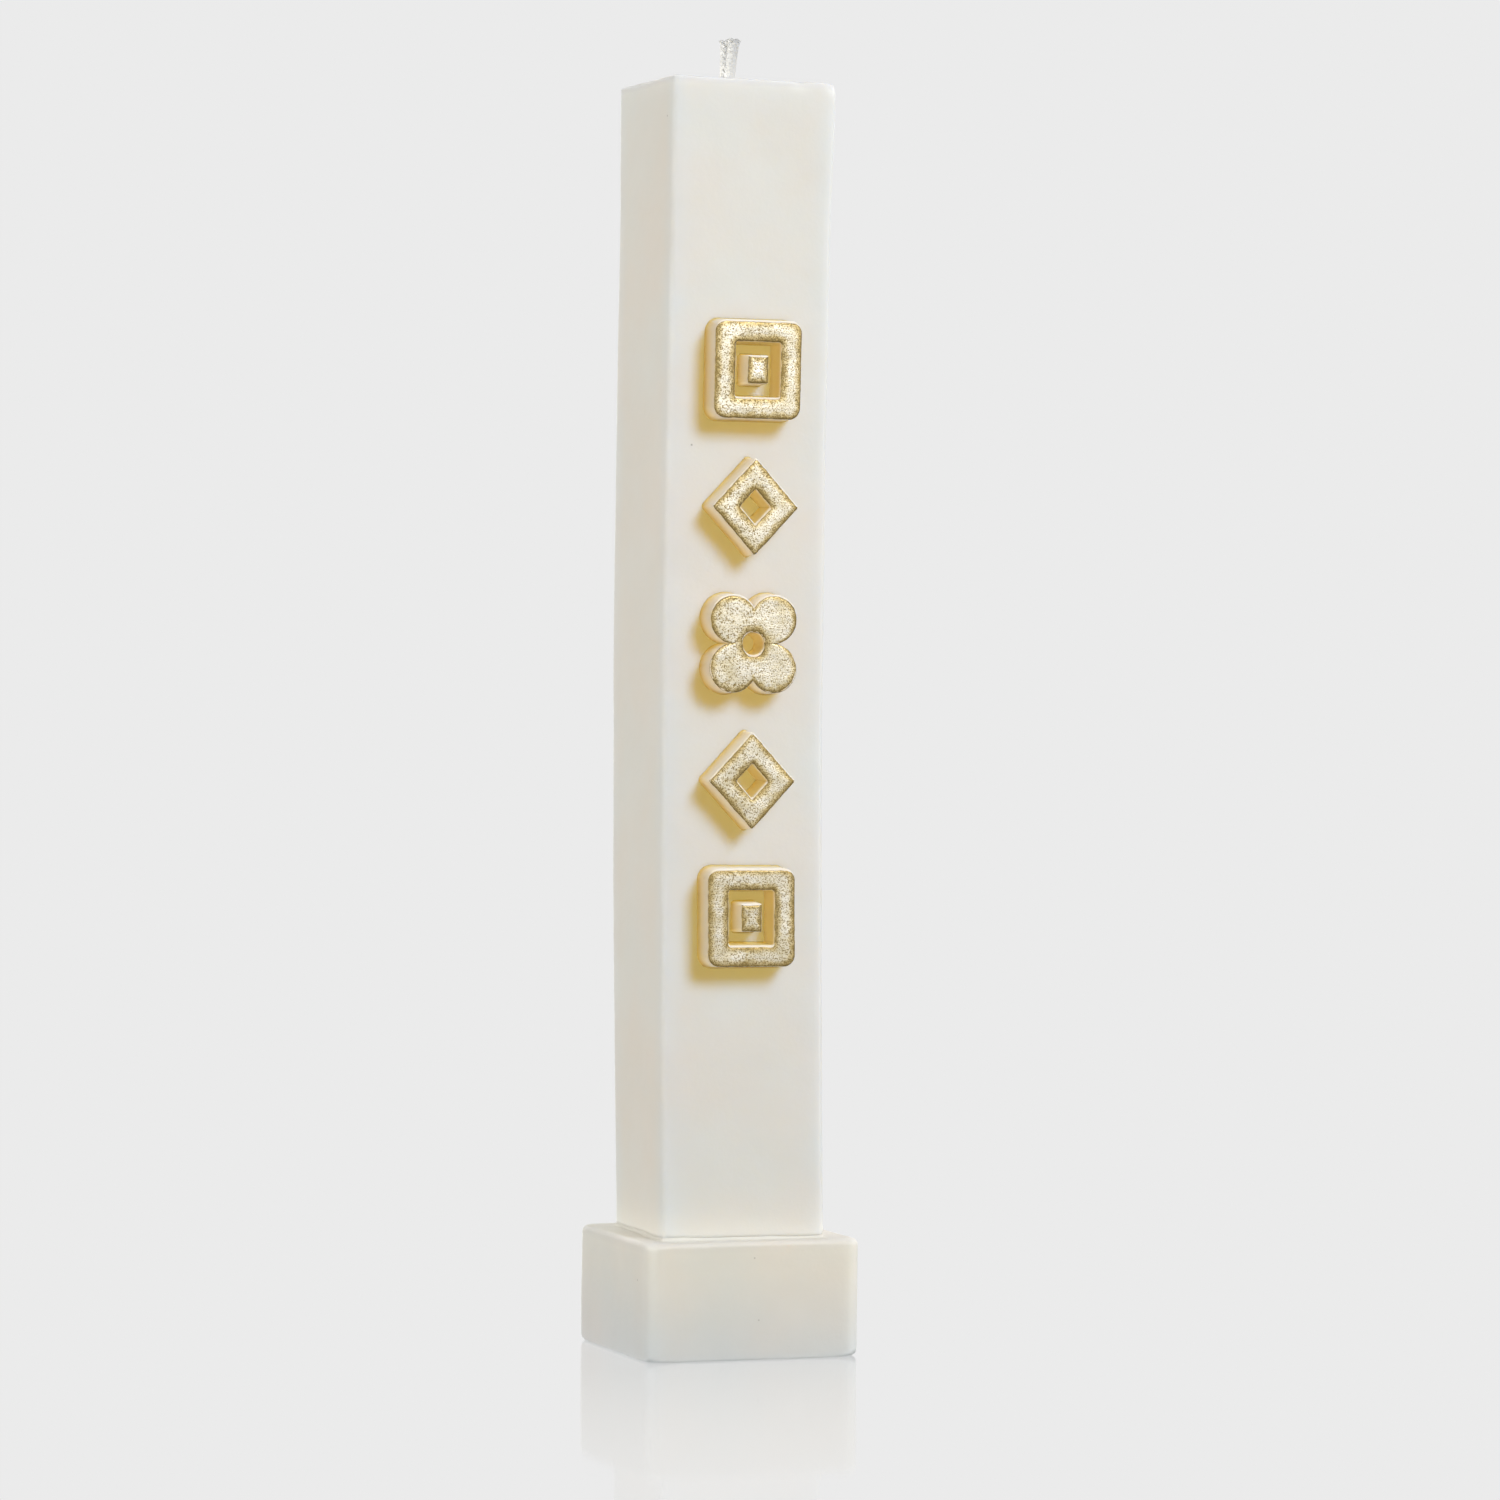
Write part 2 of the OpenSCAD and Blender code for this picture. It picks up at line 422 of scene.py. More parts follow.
def gilding_material():
    """Granular gold with fine brush strokes across it.

    The piece stores each vertex's distance from the block's edge, in millimetres, as edge_distance.
    """
    material, tree, shader = new_material("gilding")
    place = object_place(tree)
    uneven = add_range(tree, add_noise(tree, place, 600.0, roughness=0.6), 0.25, 0.75, -0.5, 0.5)
    distance = add_math(tree, "ADD", add_attribute(tree, "edge_distance"), uneven)
    middle = add_range(tree, distance, 0.1, 1.7)
    leaf = add_noise(tree, place, 3600.0, detail=2.0, roughness=0.6)
    cover = add_range(tree, middle, 0.0, 1.0, 0.52, 0.45)
    grains = add_range(tree, add_math(tree, "SUBTRACT", leaf, cover), -0.08, 0.06)
    gap = (0.17, 0.12, 0.04)
    speckled = mix_colours(tree, grains, gap, gilding_colour(tree, place, middle))
    tree.links.new(speckled, shader.inputs["Base Color"])
    tree.links.new(add_range(tree, grains, 0.0, 1.0, 0.60, 0.42), shader.inputs["Roughness"])
    brushed = tree.nodes.new("ShaderNodeMapping")
    brushed.inputs["Scale"].default_value = (0.12, 1.0, 1.0)
    tree.links.new(place, brushed.inputs["Vector"])
    strokes = add_bump(tree, add_noise(tree, brushed.outputs["Vector"], 2200.0, detail=2.0), 0.05 * MM)
    tree.links.new(add_bump(tree, leaf, 0.06 * MM, 0.6, strokes), shader.inputs["Normal"])
    shader.inputs["Metallic"].default_value = 0.8
    return material


def cotton_material():
    """Bleached cotton yarn."""
    material, tree, shader = new_material("cotton_wick")
    fibres = add_noise(tree, object_place(tree), 3000.0, detail=4.0, roughness=0.7)
    colour = add_ramp(tree, fibres, [(0.3, (0.80, 0.80, 0.785)), (0.7, (0.87, 0.875, 0.87))])
    tree.links.new(colour, shader.inputs["Base Color"])
    tree.links.new(add_bump(tree, fibres, 0.02 * MM), shader.inputs["Normal"])
    shader.inputs["Roughness"].default_value = 0.9
    shader.inputs["Specular IOR Level"].default_value = 0.1
    return material


def steel_material():
    """Tinned sheet steel, worn duller in places."""
    material, tree, shader = new_material("tinned_steel")
    wear = add_noise(tree, object_place(tree), 900.0, detail=4.0, roughness=0.6)
    colour = add_ramp(tree, wear, [(0.3, (0.50, 0.50, 0.51)), (0.7, (0.66, 0.66, 0.68))])
    tree.links.new(colour, shader.inputs["Base Color"])
    tree.links.new(add_range(tree, wear, 0.2, 0.8, 0.25, 0.45), shader.inputs["Roughness"])
    shader.inputs["Metallic"].default_value = 1.0
    return material


# ---------------------------------------------------------------- outlines and lofts

def ring(corners, radius, inset, side_steps, corner_steps):
    """Points of a convex polygon with rounded corners, drawn in by inset, anticlockwise, as an (n, 2) array.

    Rings of one polygon have matching points whatever their inset, so they can be joined face by face.
    """
    corners = [np.array(c, float) for c in corners]
    count = len(corners)
    arcs = []
    for i, corner in enumerate(corners):
        before = corner - corners[i - 1]
        after = corners[(i + 1) % count] - corner
        before /= np.linalg.norm(before)
        after /= np.linalg.norm(after)
        bisector = after - before
        bisector /= np.linalg.norm(bisector)
        half_sine = abs(bisector[0] * before[1] - bisector[1] * before[0])
        arc_radius = max(radius - inset, 0.02 * MM)
        centre = corner + bisector * (inset + arc_radius) / half_sine
        start = math.atan2(-before[0], before[1])
        turn = math.atan2(before[0] * after[1] - before[1] * after[0], before @ after)
        angles = start + turn * np.linspace(0, 1, corner_steps + 1)
        arcs.append(centre + arc_radius * np.stack([np.cos(angles), np.sin(angles)], 1))
    points = []
    for i, arc in enumerate(arcs):
        points.append(arc)
        end, start = arc[-1], arcs[(i + 1) % count][0]
        share = np.linspace(0, 1, side_steps + 1)[1:-1, None]
        points.append(end * (1 - share) + start * share)
    return np.concatenate(points)


def rectangle(half_w, half_h):
    return [(half_w, -half_h), (half_w, half_h), (-half_w, half_h), (-half_w, -half_h)]


def lozenge(half_w, half_h):
    return [(0, -half_h), (half_w, 0), (0, half_h), (-half_w, 0)]


def rise(low, high, step):
    """Heights from low to high about step apart."""
    return np.linspace(low, high, max(2, round((high - low) / step) + 1))


def quarter(steps):
    """Angles from 0 to a right angle."""
    return np.linspace(0, math.pi / 2, steps + 1)


def at_height(flat, z):
    """A flat (n, 2) loop lifted to height z, which may be one number or one per point."""
    return np.column_stack([flat, np.broadcast_to(z, len(flat))])


def loft_faces(loop_count, size, joined):
    """Quads between successive loops of size points; joined also joins the last loop to the first."""
    faces = []
    for i in range(loop_count if joined else loop_count - 1):
        a, b = i * size, ((i + 1) % loop_count) * size
        faces += [(a + k, a + (k + 1) % size, b + (k + 1) % size, b + k) for k in range(size)]
    return faces


def loft(loops, poles=None):
    """Points and faces through closed loops. With poles, a point before the first loop and one after the last
    close the ends; without them the last loop meets the first, as on a tube bent into a ring."""
    size = len(loops[0])
    points = np.concatenate(loops)
    faces = loft_faces(len(loops), size, poles is None)
    if poles is not None:
        first, last = len(points), len(points) + 1
        end = (len(loops) - 1) * size
        points = np.concatenate([points, np.array(poles, float)])
        faces += [(first, (k + 1) % size, k) for k in range(size)]
        faces += [(last, end + k, end + (k + 1) % size) for k in range(size)]
    return points, faces


# ---------------------------------------------------------------- pieces and their surfaces

def add_piece(name, points, faces, material):
    """A new smooth-shaded mesh object in the scene, with its normals facing out."""
    mesh = bpy.data.meshes.new(name)
    mesh.from_pydata([tuple(p) for p in points], [], faces)
    work = bmesh.new()
    work.from_mesh(mesh)
    bmesh.ops.recalc_face_normals(work, faces=work.faces)
    work.to_mesh(mesh)
    work.free()
    mesh.shade_smooth()
    mesh.materials.append(material)
    piece = bpy.data.objects.new(name, mesh)
    bpy.context.scene.collection.objects.link(piece)
    return piece


def set_points(piece, points):
    piece.data.vertices.foreach_set("co", np.asarray(points, np.float32).ravel())
    piece.data.update()


def store(piece, name, values):
    """Stores one number per vertex for the piece's material to read."""
    attribute = piece.data.attributes.new(name, "FLOAT", "POINT")
    attribute.data.foreach_set("value", np.asarray(values, np.float32))


def near(distance, reach):
    """1 at no distance, fading smoothly to 0 well past reach."""
    return np.exp(-(distance / reach) ** 2)


def wobble(points, period, seed):
    """Smooth noise from -1 to 1 at each point, with waves about period long."""
    shift = Vector((seed * 7.3, seed * 3.1, seed * 5.7))
    return np.array([noise.noise(Vector(p) / period + shift) for p in points])


def swell(piece, layers):
    """The piece's points, each moved along its normal by layers of smooth noise: (period, amount, seed)."""
    mesh = piece.data
    points = np.array([v.co for v in mesh.vertices])
    normals = np.array([v.normal for v in mesh.vertices])
    for period, amount, seed in layers:
        points = points + normals * (amount * wobble(points, period, seed))[:, None]
    return points


def dent(points, centre, radius, push):
    """Pushes the surface round centre by push, fading out over radius."""
    away = np.linalg.norm(points - np.array(centre), axis=1)
    return points + near(away, radius)[:, None] * np.array(push)


def settle(points):
    """The slight bow, twist, top flare and tilted top that the column took as it cooled."""
    points = np.array(points, float)
    up = np.clip((points[:, 2] - FOOT_TOP) / (COLUMN_TOP - FOOT_TOP), 0, 1)
    bow = -1.25 * MM * np.sin(math.pi * up)
    twist = math.radians(-1.9) * (1 - up) ** 1.3
    near_top = np.clip((up - 0.86) / 0.14, 0, 1)
    flare = 1 + 0.02 * near_top ** 2 * (3 - 2 * near_top)
    x, y = points[:, 0] * flare, points[:, 1] * flare
    points[:, 0] = x * np.cos(twist) - y * np.sin(twist) + bow
    points[:, 1] = x * np.sin(twist) + y * np.cos(twist)
    tilt = 0.555 * MM - 0.12 * MM * x / COLUMN_HALF + 0.275 * MM * y / COLUMN_HALF
    points[:, 2] += tilt * up
    return points


# ---------------------------------------------------------------- column

COLUMN_ARRIS = 1.15 * MM  # radius of the worn long edges
TOP_ARRIS = 0.5 * MM
WICK_RADIUS = 1.15 * MM
WICK_OFFSET = 1.175 * MM  # from the column's axis to each wick's


def column_ring(inset):
    """The column's outline, drawn in by inset."""
    half = COLUMN_HALF - SLACK
    return ring(rectangle(half, half), COLUMN_ARRIS, inset, 34, 6)


def bore_loop(radius, reach, size):
    """Stadium round both wicks, reach long either side, with size points that match ring()'s order."""
    angles = math.radians(-45) + 2 * math.pi * np.arange(size) / size
    loop = radius * np.stack([np.cos(angles), np.sin(angles)], 1)
    loop[:, 1] += np.clip(loop[:, 1] / radius, -1, 1) * reach
    return loop


def column_sides():
    """Loops up the faces and over the top edge."""
    loops = []
    for z in rise(FOOT_TOP, COLUMN_TOP - TOP_ARRIS, 1.1 * MM):
        loops.append(at_height(column_ring(0), z))
    for angle in quarter(5)[1:]:
        inset = TOP_ARRIS * (1 - math.cos(angle))
        z = COLUMN_TOP - TOP_ARRIS * (1 - math.sin(angle))
        loops.append(at_height(column_ring(inset), z))
    return loops


def column_top(shoulder, bore):
    """Loops across the top, which is dished, climbs round the wicks and sinks again at their bore's lip."""
    loops = []
    for share in np.linspace(0, 1, 22)[1:]:
        flat = shoulder * (1 - share) + bore * share
        gap = np.linalg.norm(flat - bore, axis=1)
        meniscus = 0.55 * MM * np.exp(-gap / (0.7 * MM))
        dish = -0.35 * MM * math.sin(math.pi * min(1.0, 1.1 * share)) ** 2
        lip = -0.055 * MM * share ** 8
        loops.append(at_height(flat, COLUMN_TOP + dish + meniscus + lip))
    return loops


def column_bore(bore):
    """Loops down the wicks' bore, round the tab's neck and out to its disc."""
    tab_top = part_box("wick_tab")[1].z
    tab_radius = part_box("wick_tab")[1].x
    disc_top = FOOT_TOP + 0.4 * MM
    neck = bore_loop(3.0 * MM, 0, len(bore))
    disc = bore_loop(tab_radius, 0, len(bore))
    loops = [at_height(bore, z) for z in rise(tab_top, COLUMN_TOP - 2 * MM, 6 * MM)[::-1]]
    for flat, z in ((neck, tab_top), (neck, disc_top), (disc, disc_top), (disc, FOOT_TOP)):
        loops.append(at_height(flat, z))
    return loops


def mark_column(column, points):
    """Stores where light and shade are painted on the wax: a cool sheen by the long edges and below the top,
    darker shade on the top and its rim, and grey and amber shade towards the bottom.
    """
    across = COLUMN_HALF - np.abs(points[:, :2]).min(1)
    inside = COLUMN_HALF - np.abs(points[:, :2]).max(1)
    below = COLUMN_TOP - points[:, 2]
    top = near(below, 0.9 * MM)
    rim = top * near(inside, 1.5 * MM)
    bottom = np.exp(-(points[:, 2] - FOOT_TOP) / (16 * MM))
    store(column, "painted_edge_sheen", np.maximum(near(across, 4.0 * MM), 0.5 * near(below, 7.0 * MM)))
    store(column, "painted_shade", 0.3 * top + 0.8 * rim + 0.2 * bottom)
    store(column, "root", 0.05 * bottom)


def make_column(material):
    """The tall pillar, with worn edges, two small dents, and room for the wicks and their tab."""
    shoulder = column_ring(TOP_ARRIS)
    bore = bore_loop(WICK_RADIUS, WICK_OFFSET, len(shoulder))
    points, faces = loft(column_sides() + column_top(shoulder, bore) + column_bore(bore))
    column = add_piece("column_wax", points, faces, material)
    mark_column(column, points)
    outside = np.abs(points[:, :2]).max(1) > 0.6 * COLUMN_HALF
    moved = swell(column, [(38 * MM, 0.16 * MM, 1), (9 * MM, 0.05 * MM, 2), (3 * MM, 0.018 * MM, 3)])
    moved = np.where(outside[:, None], moved, points)
    moved[:, 2] = np.clip(moved[:, 2], FOOT_TOP, None)
    chip = (COLUMN_HALF, -COLUMN_HALF, COLUMN_TOP)
    moved = dent(moved, chip, 1.6 * MM, (-0.5 * MM, 0.4 * MM, -0.6 * MM))
    nick = (0.55 * COLUMN_HALF, -COLUMN_HALF, COLUMN_TOP)
    moved = dent(moved, nick, 1.0 * MM, (0.0, 0.25 * MM, -0.3 * MM))
    set_points(column, settle(moved))
    return column


# ---------------------------------------------------------------- foot and bead

FOOT_ARRIS = 3.0 * MM


def foot_loops():
    """Loops across the foot's underside, round its lower edge, up its faces and across its top."""
    half = FOOT_HALF - SLACK
    square = rectangle(half, half)
    base = ring(square, FOOT_ARRIS, 0, 36, 9)
    inward = (ring(square, FOOT_ARRIS, MM, 36, 9) - base) / MM
    cornered = 1 - np.clip((FOOT_HALF - np.abs(base).min(1)) / (7 * MM), 0, 1)
    near_left = (base[:, 0] <= 0) & (base[:, 1] <= 0)
    wear = np.where(near_left, 0.8 * MM, 1.8 * MM)
    low_edge = 0.45 * MM + wear * cornered ** 2
    top_edge = 0.9 * MM + 0.8 * MM * cornered ** 2
    loops = []
    for share in np.linspace(0.04, 0.96, 14):
        loops.append(at_height((base + inward * low_edge[:, None]) * share, 0.0))
    for angle in quarter(5):
        flat = base + inward * (low_edge * (1 - math.sin(angle)))[:, None]
        loops.append(at_height(flat, low_edge * (1 - math.cos(angle))))
    for share in np.linspace(0, 1, 18)[1:-1]:
        loops.append(at_height(base, low_edge * (1 - share) + (FOOT_TOP - top_edge) * share))
    for angle in quarter(6):
        flat = base + inward * (top_edge * (1 - math.cos(angle)))[:, None]
        loops.append(at_height(flat, FOOT_TOP - top_edge * (1 - math.sin(angle))))
    for share in np.linspace(0.97, 0.04, 26):
        loops.append(at_height((base + inward * top_edge[:, None]) * share, FOOT_TOP))
    return loops


def mark_foot(foot, points):
    """Stores where light and shade are painted on the wax: a brighter sheen by the upright edges, greyer
    shade towards the floor and darker shade on top.
    """
    across = FOOT_HALF - np.abs(points[:, :2]).min(1)
    store(foot, "painted_edge_sheen", near(across, 3.0 * MM))
    store(foot, "low", np.clip(1 - points[:, 2] / (0.75 * FOOT_TOP), 0, 1))
    store(foot, "painted_shade", near(FOOT_TOP - points[:, 2], 1.0 * MM))


def make_foot(material):
    """The wide square block, flat underneath, with its lower corners worn."""
    points, faces = loft(foot_loops(), [(0, 0, 0), (0, 0, FOOT_TOP)])
    foot = add_piece("foot_wax", points, faces, material)
    mark_foot(foot, points)
    moved = swell(foot, [(24 * MM, 0.22 * MM, 11), (8 * MM, 0.07 * MM, 12), (3 * MM, 0.02 * MM, 13)])
    under = points[:, 2] < 0.001 * MM
    moved[under] = points[under]
    moved[:, 2] = np.clip(moved[:, 2], 0, None)
    set_points(foot, moved)
    return foot


def make_bead(material):
    """Melted-wax cove round the column's base, wider where the wax ran."""
    square = rectangle(COLUMN_HALF, COLUMN_HALF)
    base = ring(square, 0.9 * MM, 0, 60, 8)
    away = (ring(square, 0.9 * MM, -MM, 60, 8) - base) / MM
    run = 0.75 * MM * (1 + 0.35 * wobble(at_height(base, 0), 9 * MM, 21))
    climb = 0.55 * MM * (1 + 0.45 * wobble(at_height(base, 0), 7 * MM, 22))
    sunk = base - away * 0.3 * MM
    below = FOOT_TOP - 0.1 * MM
    loops = [at_height(sunk, below), at_height(sunk, FOOT_TOP + climb)]
    for angle in quarter(8):
        flat = base + away * (run * (1 - math.cos(angle)))[:, None]
        loops.append(at_height(flat, FOOT_TOP + climb * (1 - math.sin(angle))))
    loops.append(at_height(base + away * run[:, None], below))
    points, faces = loft(loops)
    return add_piece("join_bead_wax", settle(points), faces, material)


# ---------------------------------------------------------------- shapes of the ornaments

STROKE = 4.4 * MM  # width of a frame's or lozenge's band
ROUNDING = 0.32 * MM  # radius of a block's front edges
DRAFT = 0.22 * MM  # how far a wall leans out between its top and its root
PILLOW = 0.08 * MM  # how much the middle of a stroke stands proud
SKIRT = 0.35 * MM  # width and height of the fillet where a block meets the column
WALL_TOP = RELIEF_DEPTH - 0.12 * MM - ROUNDING


class OpenFrame:
    """An ornament between an outer polygon and a window of the same kind."""

    windowed = True

    def __init__(self, polygon, half_w, half_h, outer_radius, inner_radius):
        self.outer_corners = polygon(half_w, half_h)
        self.inner_corners = [tuple(p) for p in ring(self.outer_corners, 0.02 * MM, STROKE, 1, 1)[::2]]
        self.outer_radius = outer_radius
        self.inner_radius = inner_radius

    def outer(self, inset):
        return ring(self.outer_corners, self.outer_radius, inset, 40, 8)

    def inner(self, inset):
        return ring(self.inner_corners, self.inner_radius, -inset, 40, 8)


class Stud:
    """A small solid block; its inner outline is the point in its middle."""

    windowed = False

    def __init__(self, half_w, half_h):
        self.corners = rectangle(half_w, half_h)

    def outer(self, inset):
        return ring(self.corners, 0.35 * MM, inset, 16, 4)

    def inner(self, inset):
        return self.outer(0) * 0.0


class Rosette:
    """Four round petals in the corners of the ornament's rectangle, with a round hole in the middle."""

    windowed = True

    def __init__(self, half_w, half_h, petal, hole):
        self.centre = (half_w - petal, half_h - petal)
        self.petal = petal
        self.hole = hole

    def outer(self, inset):
        """The petals' outline: each petal shrinks until it would part from the next, then all draw in."""
        cx, cy = self.centre
        radius = self.petal - min(inset, self.petal - cy - 0.03 * MM)
        rest = max(0.0, inset - (self.petal - radius))
        notch_height = math.sqrt(radius ** 2 - cx ** 2)
        side_notch = math.atan2(-cy, math.sqrt(radius ** 2 - cy ** 2))
        top_notch = math.atan2(notch_height, -cx)
        angles = np.linspace(side_notch, top_notch, 56, endpoint=False)
        petal = np.stack([cx + radius * np.cos(angles), cy + radius * np.sin(angles)], 1)
        mirrored = (petal[1:] * (-1, 1))[::-1]
        half = np.concatenate([petal, [[0, cy + notch_height]], mirrored])
        loop = np.concatenate([half, -half])
        length = np.linalg.norm(loop, axis=1)[:, None]
        return loop * (1 - rest / length)

    def inner(self, inset):
        loop = self.outer(0)
        return loop / np.linalg.norm(loop, axis=1)[:, None] * (self.hole + inset)


def crown(distance):
    """Height of a block's face above the column, at a distance from its edge: rounded, then pillowed."""
    into = np.clip(distance, 0, ROUNDING)
    rounded = WALL_TOP + np.sqrt(ROUNDING ** 2 - (ROUNDING - into) ** 2)
    pillow = PILLOW * (1 - np.exp(-np.clip(distance - ROUNDING, 0, None) / (0.8 * MM)))
    return rounded + pillow


CROWN_TOP = crown(9 * MM)  # height of a face well inside its edge


def stand_up(flat, height, centre_z):
    """A loop in an ornament's own plane, placed on the column's front face at a height out from it."""
    height = np.broadcast_to(height, len(flat))
    return np.column_stack([flat[:, 0], COLUMN_FACE - height, centre_z + flat[:, 1]])


def drawn_in(outline, inset):
    """An outline drawn in by inset, which may differ from point to point."""
    base = outline(0.0)
    step = 0.2 * MM
    return base + (outline(step) - base) / step * np.broadcast_to(inset, len(base))[:, None]


def between(shape, share, edge, inner_edge):
    """The loop a share of the way from edge inside the outer outline to inner_edge inside the inner one,
    and each of its points' distance from the nearer outline. The edges are one number or one per point."""
    start = drawn_in(shape.outer, edge)
    end = drawn_in(shape.inner, inner_edge)
    loop = start * (1 - share) + end * share
    width = np.linalg.norm(end - start, axis=1)
    from_outer = edge + width * share
    if not shape.windowed:
        return loop, from_outer
    return loop, np.minimum(from_outer, inner_edge + width * (1 - share))


def bare_edge(outline, seed):
    """How far the gilding stops short of an outline's points: ragged, and wider where the edge faces up."""
    base = outline(0.0)
    inward = outline(0.2 * MM) - base
    length = np.maximum(np.linalg.norm(inward, axis=1), 1e-9)
    facing_up = np.clip(-inward[:, 1] / length, 0, 1)
    waves = 0.09 * MM * wobble(at_height(base, 0), 1.6 * MM, seed)
    ripples = 0.06 * MM * wobble(at_height(base, 0), 0.6 * MM, seed)
    return np.clip(0.09 * MM + 0.36 * MM * facing_up ** 2 + waves + ripples, 0.03 * MM, None)


# ---------------------------------------------------------------- relief blocks and their gilding

def wall_loops(outline, heights, centre_z):
    """Loops of a drafted wall with a small fillet at its root."""
    loops = []
    for height in heights:
        spread = DRAFT * (1 - height / WALL_TOP) + SKIRT * math.exp(-max(height, 0) / SKIRT)
        loops.append(stand_up(outline(-spread), height, centre_z))
    return loops


def edge_loops(outline, angles, centre_z):
    """Loops round a block's rounded front edge."""
    insets = [ROUNDING * (1 - math.cos(angle)) for angle in angles]
    return [stand_up(outline(inset), crown(inset), centre_z) for inset in insets]


def face_loops(shape, shares, centre_z):
    """Loops across a block's pillowed face."""
    loops = []
    for share in shares:
        loop, distance = between(shape, share, ROUNDING, ROUNDING)
        loops.append(stand_up(loop, crown(distance), centre_z))
    return loops


def relief_swell(piece, seed):
    """The same unevenness for a block and its gilding, so that they stay together."""
    return swell(piece, [(5 * MM, 0.06 * MM, seed), (1.6 * MM, 0.025 * MM, seed + 1)])


def make_block(name, shape, centre_z, material, seed):
    """A wax ornament stuck on the column: drafted walls, worn edges and a slightly pillowed face.

    Indirect light doesn't see it: light bounced off its walls would draw bright haloes on the column.
    """
    heights = rise(-0.25 * MM, WALL_TOP, 0.55 * MM)
    last = 1.0 if shape.windowed else 0.94
    shares = np.linspace(0, last, 14)[1:]
    loops = wall_loops(shape.outer, heights, centre_z) + edge_loops(shape.outer, quarter(5)[1:], centre_z)
    if shape.windowed:
        loops += face_loops(shape, shares[:-1], centre_z)
        outer_count = len(loops) * len(loops[0])
        loops += edge_loops(shape.inner, quarter(5)[::-1], centre_z)
        loops += wall_loops(shape.inner, heights[::-1][1:], centre_z)
        points, faces = loft(loops)
    else:
        loops += face_loops(shape, shares, centre_z)
        loops.insert(0, stand_up(shape.outer(0) * 0.5, heights[0], centre_z))
        poles = [(0, COLUMN_FACE - heights[0], centre_z), (0, COLUMN_FACE - CROWN_TOP, centre_z)]
        points, faces = loft(loops, poles)
    piece = add_piece(name, points, faces, material)
    piece.visible_diffuse = False
    out = COLUMN_FACE - points[:, 1]
    # Painted amber shade: full where a wall meets the column, fading towards the face, and strong on the
    # window walls.
    root = np.clip(1 - out / (0.8 * RELIEF_DEPTH), 0, 1) ** 1.3
    if shape.windowed:
        root[outer_count:] = np.clip(0.75 * (RELIEF_DEPTH - out[outer_count:]) / MM, 0, 0.9)
    store(piece, "root", root)
    set_points(piece, settle(relief_swell(piece, seed)))
    return piece


def make_gilding(name, shape, centre_z, material, seed):
    """The gilded skin on a block's face, with a ragged edge that leaves bare wax round it."""
    edge = bare_edge(shape.outer, seed)
    inner_edge = bare_edge(shape.inner, seed + 1) if shape.windowed else edge * 0
    proud, sunk = 0.035 * MM, -0.10 * MM
    last = 1.0 if shape.windowed else 0.96
    front, distances = [], []
    for share in np.linspace(0, last, 22 if shape.windowed else 12):
        loop, distance = between(shape, share, edge, inner_edge)
        front.append(stand_up(loop, crown(distance) + proud, centre_z))
        distances.append(distance)
    start, start_gap = between(shape, 0.0, edge, inner_edge)
    start_back = stand_up(start, crown(start_gap) + sunk, centre_z)
    if shape.windowed:
        end, end_gap = between(shape, last, edge, inner_edge)
        end_back = stand_up(end, crown(end_gap) + sunk, centre_z)
        points, faces = loft(front + [end_back, start_back])
        distances += [end_gap, start_gap]
    else:
        middle_back = stand_up(start * 0.5, CROWN_TOP + sunk, centre_z)
        back_y, front_y = COLUMN_FACE - CROWN_TOP - sunk, COLUMN_FACE - CROWN_TOP - proud
        poles = [(0, back_y, centre_z), (0, front_y, centre_z)]
        points, faces = loft([middle_back, start_back] + front, poles)
        distances = [start_gap, start_gap] + distances + [np.array([2 * MM, 2 * MM])]
    piece = add_piece(name, points, faces, material)
    store(piece, "edge_distance", np.concatenate(distances) / MM)
    set_points(piece, settle(relief_swell(piece, seed)))
    return piece


ORNAMENTS = (
    "square_frame_top", "square_stud_top", "lozenge_upper", "rosette", "lozenge_lower",
    "square_frame_bottom", "square_stud_bottom")


def ornament_shape(node, half_w, half_h):
    if "frame" in node:
        return OpenFrame(rectangle, half_w, half_h, 2.4 * MM, 0.6 * MM)
    if "stud" in node:
        return Stud(half_w, half_h)
    if "lozenge" in node:
        return OpenFrame(lozenge, half_w, half_h, 0.5 * MM, 0.3 * MM)
    return Rosette(half_w, half_h, 4.9 * MM, 2.3 * MM)


def make_ornaments(wax, gold):
    """Every relief block and its gilding: (block, gilding, node, gilding node)."""
    made = []
    for index, node in enumerate(ORNAMENTS):
        low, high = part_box(node)
        shape = ornament_shape(node, (high.x - low.x) / 2, (high.z - low.z) / 2)
        centre_z = (high.z + low.z) / 2
        seed = 30 + 4 * index
        block = make_block(node + "_wax", shape, centre_z, wax, seed)
        skin = make_gilding(node + "_gilding", shape, centre_z, gold, seed)
        made.append((block, skin, node, "gilding_" + node))
    return made


# ---------------------------------------------------------------- wicks

BARE_WICK = 9.5 * MM  # how much of a wick stands out of the wax, before it settles with the column
BRAID_RADIUS = 0.70 * MM
BRAID_PITCH = 5.2 * MM
WEAVE = 0.09 * MM  # how far a yarn goes over and under the ones that cross it
YARN_RADIUS = 0.37 * MM
CORE_RADIUS = 0.97 * MM


def level(angle):
    """A level unit vector."""
    return Vector((math.cos(angle), math.sin(angle), 0))


